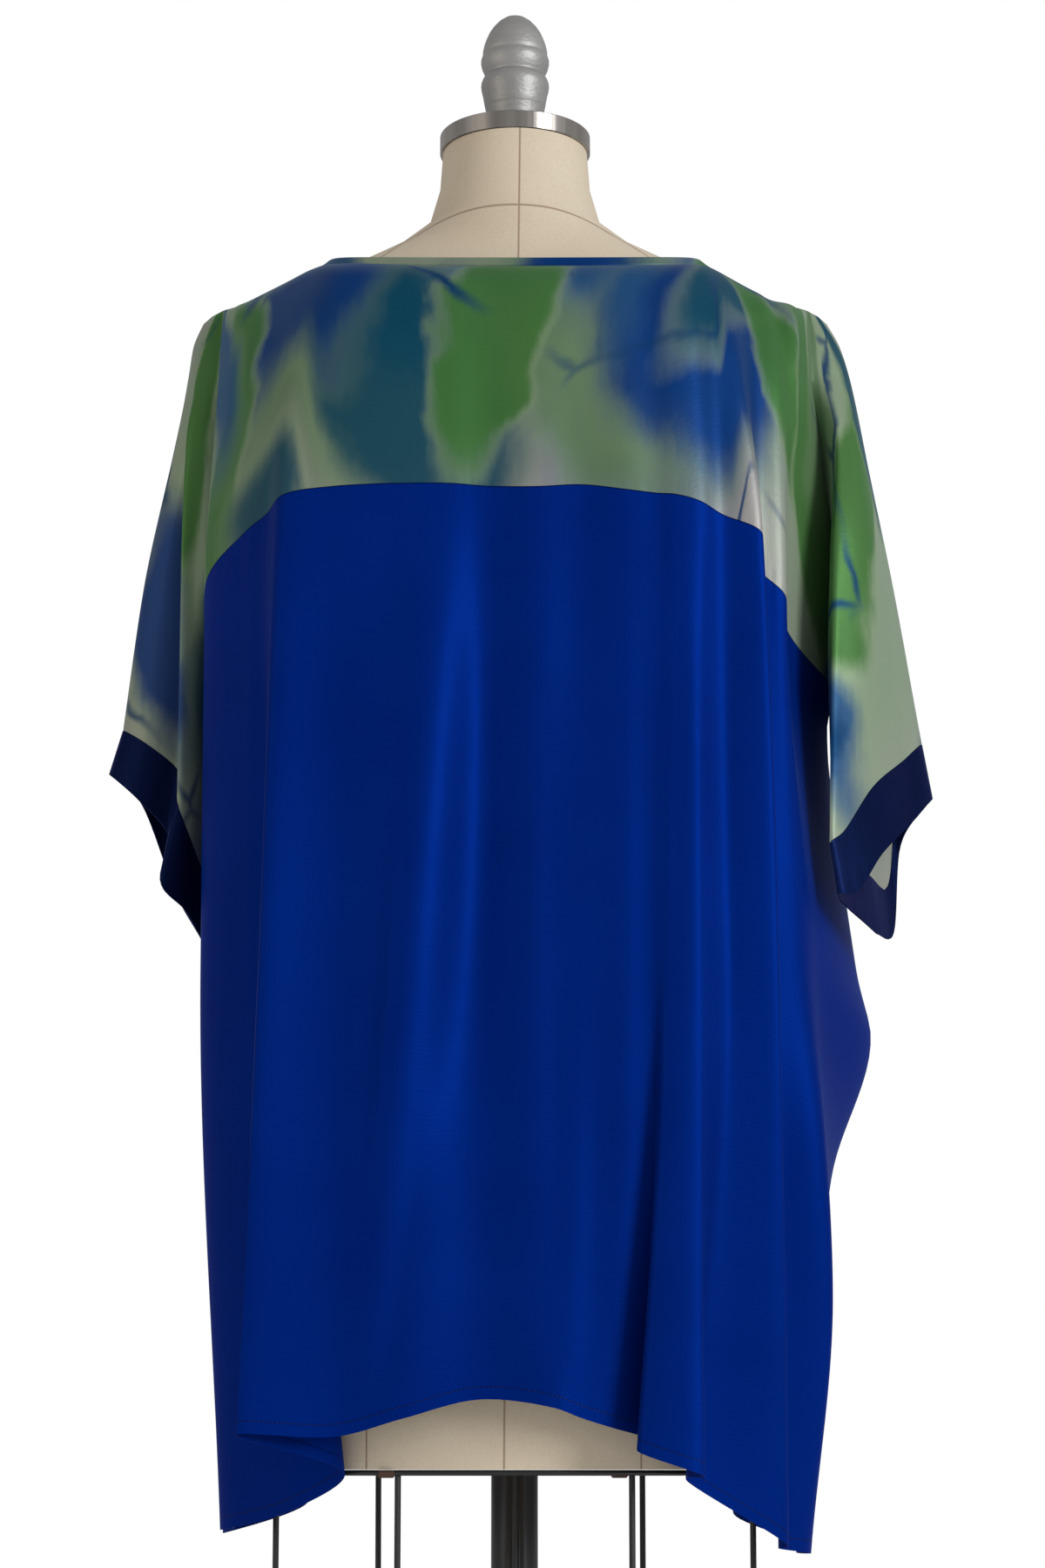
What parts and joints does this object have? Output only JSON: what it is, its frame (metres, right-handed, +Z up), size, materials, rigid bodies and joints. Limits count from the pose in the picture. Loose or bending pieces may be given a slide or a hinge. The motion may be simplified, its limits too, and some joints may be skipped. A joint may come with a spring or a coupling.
{
  "type": "tunic top on a limbless dress form with its wire cage, post and base",
  "caption": "Boxy short-sleeved silk tunic with a dyed yoke, navy cuffs and a plain body, worn by a limbless dress form on a post and round base.",
  "frame": {"origin": "centre of the underside of the stand's round base, on the floor", "axes": "+Z up along the post, the tunic's back faces -Y, +X to the right seen from behind"},
  "size_m": [0.5673, 0.43, 1.7237],
  "materials": {
    "cobalt_silk": "soft sheen",
    "dyed_silk": "soft sheen, resist dyed",
    "navy_silk": "soft sheen",
    "linen": "matt woven",
    "brushed_steel": "brushed",
    "cast_grey": "satin turned",
    "black_metal": "satin black",
    "bronze": "dull bronze"
  },
  "bodies": {
    "root": {"base_disc": "black_metal", "post": "black_metal", "cage_hoop": "black_metal", "rod_side_left": "black_metal", "rod_side_right": "black_metal", "rod_back_left": "black_metal", "rod_back_right": "black_metal", "rod_front_left": "black_metal", "rod_front_right": "black_metal", "bracket_left": "bronze", "bracket_right": "bronze", "form_torso": "linen", "neck_ring": "brushed_steel", "finial": "cast_grey", "neck_binding": "dyed_silk", "yoke_back": "dyed_silk", "yoke_front": "dyed_silk", "body_back": "cobalt_silk", "body_front": "cobalt_silk", "cuff_left": "navy_silk", "cuff_right": "navy_silk"}
  },
  "joints": []
}
